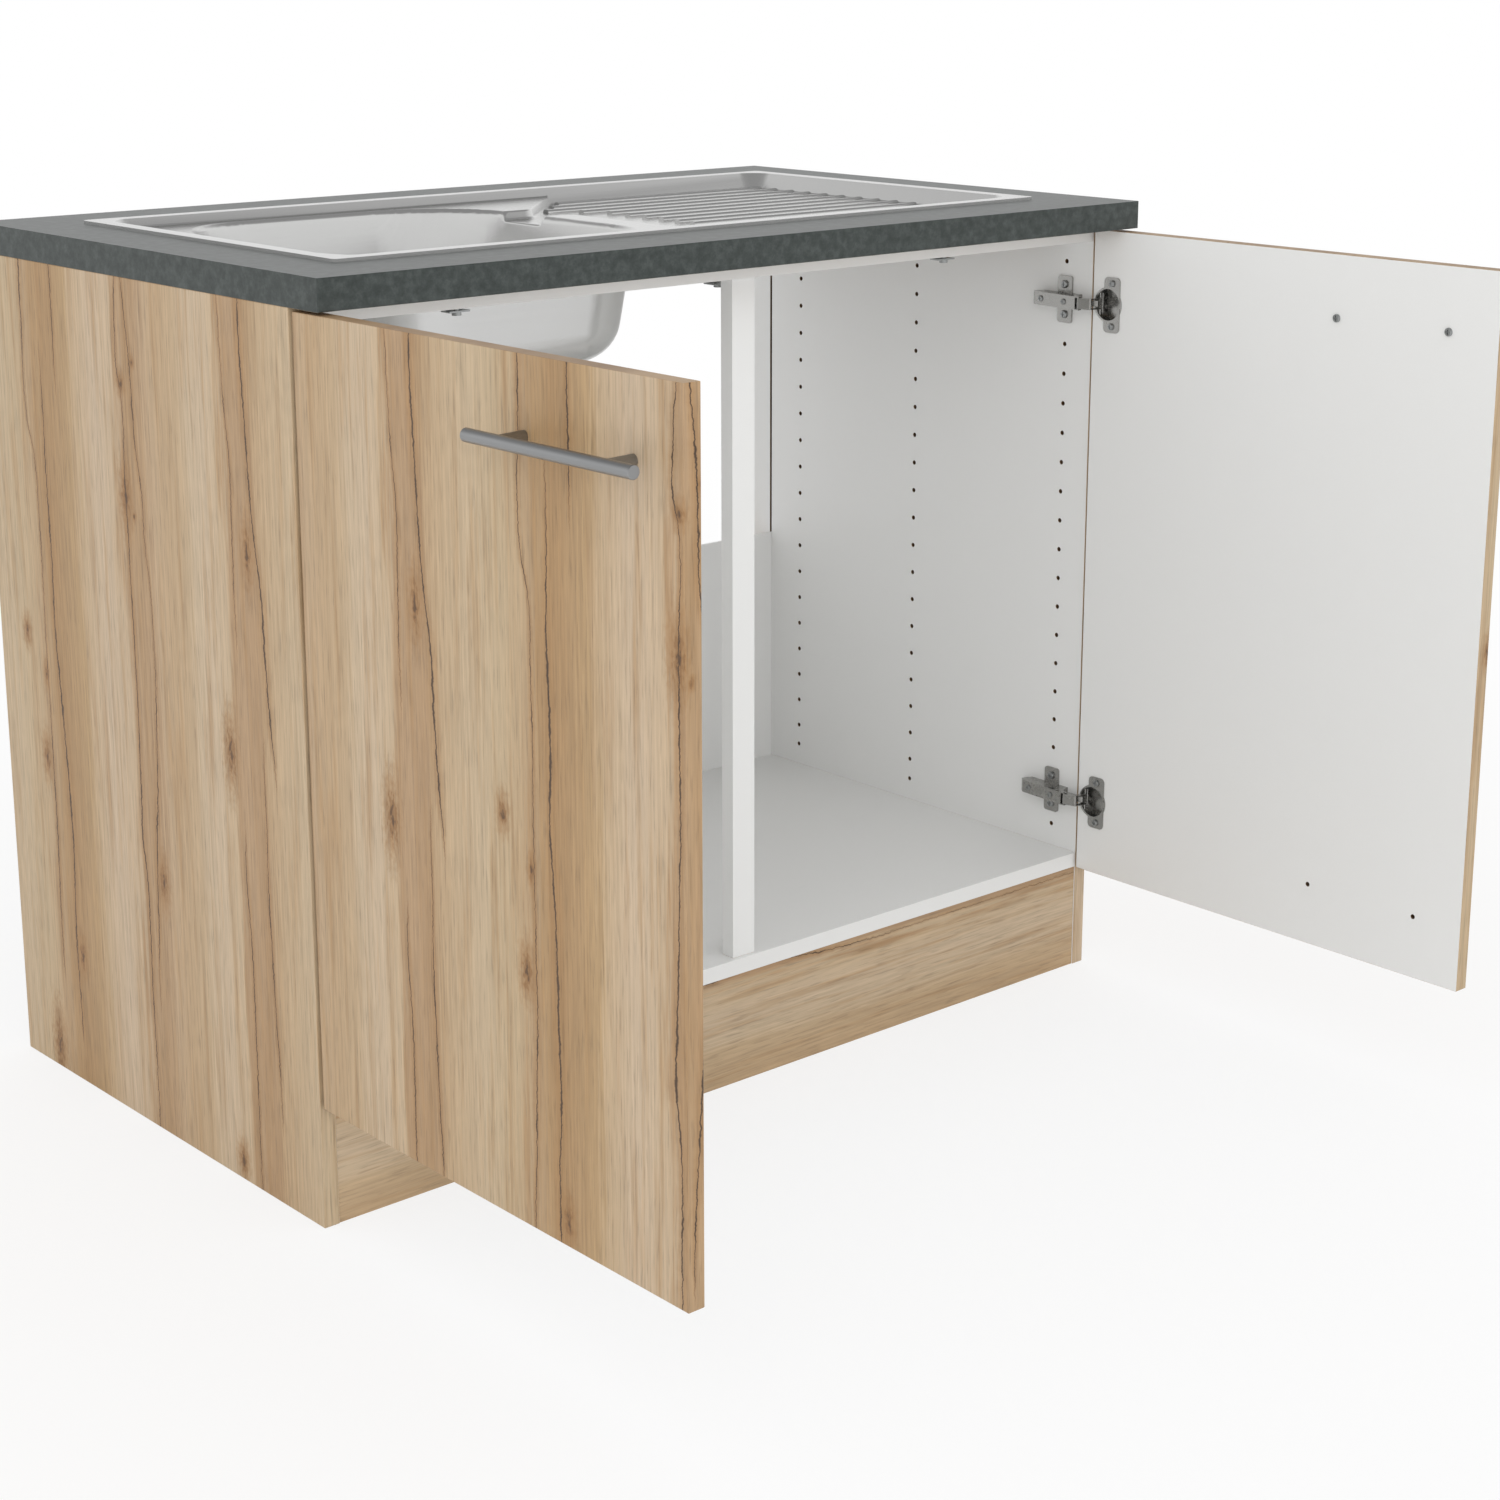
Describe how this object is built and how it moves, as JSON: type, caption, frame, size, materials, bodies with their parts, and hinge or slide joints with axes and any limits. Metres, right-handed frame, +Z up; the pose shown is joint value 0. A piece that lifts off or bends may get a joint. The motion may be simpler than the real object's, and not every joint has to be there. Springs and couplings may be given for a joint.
{
  "type": "kitchen sink unit",
  "caption": "Kitchen base cabinet with hinged doors and bar handles, under a laminate worktop with an inset steel sink that has a bowl, a ledge and a ribbed drainer.",
  "frame": {"origin": "on the floor, in the middle of the outline with both doors open at a right angle", "axes": "+X to the right as seen from the front, +Y towards the wall, +Z up"},
  "size_m": [1.063, 1.053, 0.851],
  "materials": {
    "oak_board": "oak-look decor foil with a fine grain on chipboard",
    "white_board": "white melamine on chipboard",
    "slate_laminate": "mottled slate-grey laminate on chipboard, slightly textured",
    "sink_steel": "satin stainless steel",
    "handle_steel": "brushed satin steel",
    "nickel": "nickel-plated pressed steel",
    "zinc_steel": "zinc-plated steel",
    "dowel_beech": "plain beech",
    "seal_rubber": "black foam rubber",
    "waste_plastic": "white plastic"
  },
  "bodies": {
    "carcass": {"arm_pins": "nickel", "arm_screws": "zinc_steel", "back_board": "white_board", "bottom_panel": "white_board", "cam_bolts": "zinc_steel", "cam_housings": "zinc_steel", "carcass_dowels": "dowel_beech", "clip_screws": "zinc_steel", "front_rail": "white_board", "hinge_arm_left_bottom": "nickel", "hinge_arm_left_top": "nickel", "hinge_arm_right_bottom": "nickel", "hinge_arm_right_top": "nickel", "hinge_plate_left_bottom": "nickel", "hinge_plate_left_top": "nickel", "hinge_plate_right_bottom": "nickel", "hinge_plate_right_top": "nickel", "mullion": "white_board", "plate_screws": "zinc_steel", "plinth_board": "oak_board", "rear_rail": "white_board", "side_panel_left": "oak_board", "side_panel_right": "oak_board", "sink": "sink_steel", "sink_clips": "zinc_steel", "sink_seal": "seal_rubber", "strainer_flange": "sink_steel", "strainer_gasket": "seal_rubber", "strainer_screw": "sink_steel", "waste_body": "waste_plastic", "waste_tail": "waste_plastic", "worktop": "slate_laminate", "worktop_screws": "zinc_steel"},
    "outer_links_left": {"outer_link_left_bottom": "nickel", "outer_link_left_top": "nickel"},
    "inner_links_left": {"inner_link_left_bottom": "nickel", "inner_link_left_top": "nickel"},
    "door_left": {"door_left": "oak_board", "handle_bar_left": "handle_steel", "handle_posts_left": "handle_steel", "handle_screws_left": "zinc_steel", "hinge_cup_left_bottom": "nickel", "hinge_cup_left_top": "nickel", "cup_screws_left": "zinc_steel", "cup_pins_left": "nickel"},
    "outer_links_right": {"outer_link_right_bottom": "nickel", "outer_link_right_top": "nickel"},
    "inner_links_right": {"inner_link_right_bottom": "nickel", "inner_link_right_top": "nickel"},
    "door_right": {"door_right": "oak_board", "handle_bar_right": "handle_steel", "handle_posts_right": "handle_steel", "handle_screws_right": "zinc_steel", "hinge_cup_right_bottom": "nickel", "hinge_cup_right_top": "nickel", "cup_screws_right": "zinc_steel", "cup_pins_right": "nickel"},
    "basket": {"strainer_basket": "sink_steel"}
  },
  "joints": [
    {"name": "outer_link_turn_left", "type": "hinge", "parent": "carcass", "child": "outer_links_left", "pos_m": [-0.467, -0.0235, 0.468], "axis": [0, 0, -1], "range_deg": [-1.59, 26.84]},
    {"name": "door_turn_left", "type": "hinge", "parent": "outer_links_left", "child": "door_left", "pos_m": [-0.4832, -0.03973, 0.468], "axis": [0, 0, -1], "range_deg": [-116.74, 6.49]},
    {"name": "inner_link_turn_left", "type": "hinge", "parent": "carcass", "child": "inner_links_left", "pos_m": [-0.476, -0.0315, 0.468], "axis": [0, 0, -1], "range_deg": [-1.07, 17.62]},
    {"name": "outer_link_turn_right", "type": "hinge", "parent": "carcass", "child": "outer_links_right", "pos_m": [0.467, -0.0235, 0.468], "axis": [0, 0, 1], "range_deg": [-1.59, 26.84]},
    {"name": "door_turn_right", "type": "hinge", "parent": "outer_links_right", "child": "door_right", "pos_m": [0.4832, -0.03973, 0.468], "axis": [0, 0, 1], "range_deg": [-116.74, 6.49]},
    {"name": "inner_link_turn_right", "type": "hinge", "parent": "carcass", "child": "inner_links_right", "pos_m": [0.476, -0.0315, 0.468], "axis": [0, 0, 1], "range_deg": [-1.07, 17.62]},
    {"name": "basket_lift", "type": "slide", "parent": "carcass", "child": "basket", "axis": [0, 0, 1], "range_m": [0, 0.012]}
  ],
  "couplings": [
    {"joint": "outer_link_turn_left", "follows": "door_turn_left", "ratio": -0.22908},
    {"joint": "inner_link_turn_left", "follows": "door_turn_left", "ratio": -0.15005},
    {"joint": "outer_link_turn_right", "follows": "door_turn_right", "ratio": -0.22908},
    {"joint": "inner_link_turn_right", "follows": "door_turn_right", "ratio": -0.15005}
  ]
}
